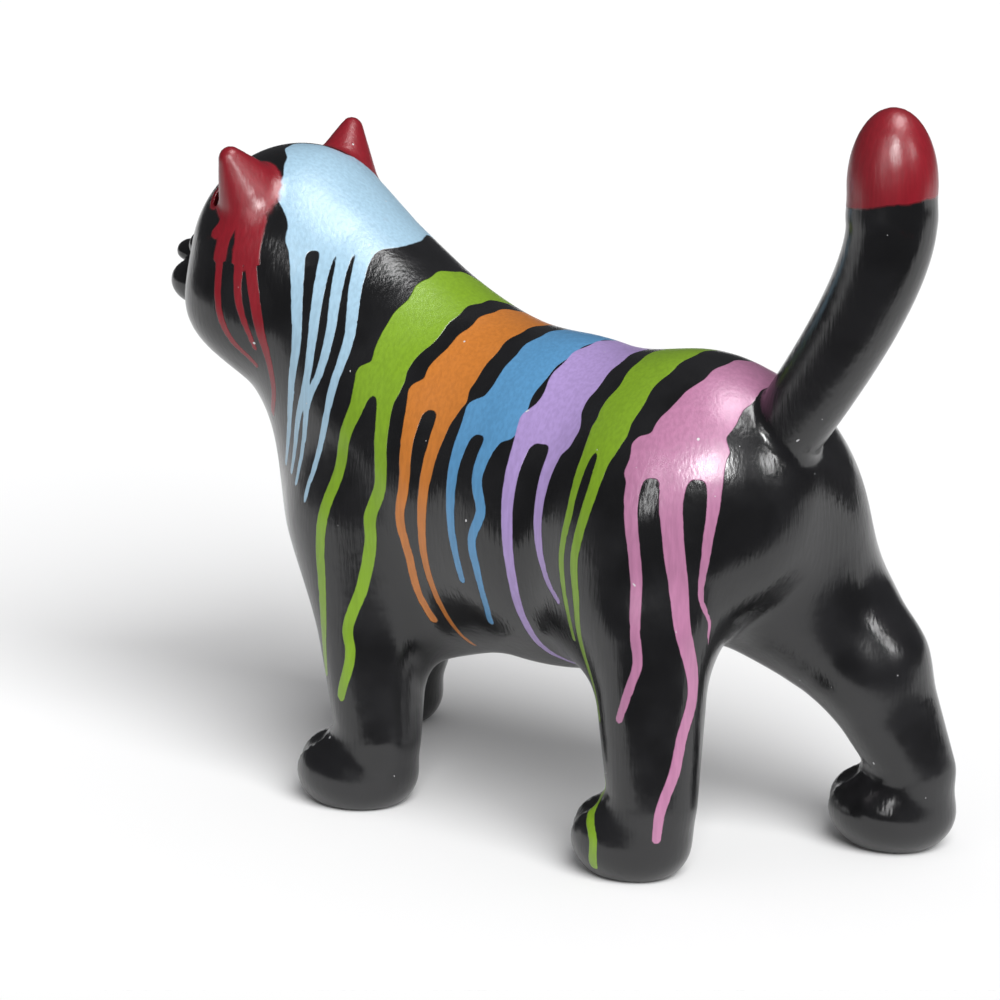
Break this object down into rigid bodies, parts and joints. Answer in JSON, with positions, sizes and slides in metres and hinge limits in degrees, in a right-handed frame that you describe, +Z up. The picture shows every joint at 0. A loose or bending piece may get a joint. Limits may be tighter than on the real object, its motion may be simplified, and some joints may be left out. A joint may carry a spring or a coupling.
{
  "type": "cat figurine",
  "caption": "Standing ornament of a chubby cat in mid-stride with its tail up, one hollow casting in black gloss lacquer with painted colour bands.",
  "frame": {"origin": "centre of the overall box, on the plane that the four soles stand on", "axes": "+Z up, the cat faces -Y, its left side is +X, its tail is at +Y"},
  "size_m": [0.1076, 0.293, 0.2399],
  "materials": {
    "lacquer": "black gloss lacquer on cast plastic, with painted bands, drips, red ears and a red tail tip"
  },
  "bodies": {
    "root": {"cat_figurine": "lacquer"}
  },
  "joints": []
}
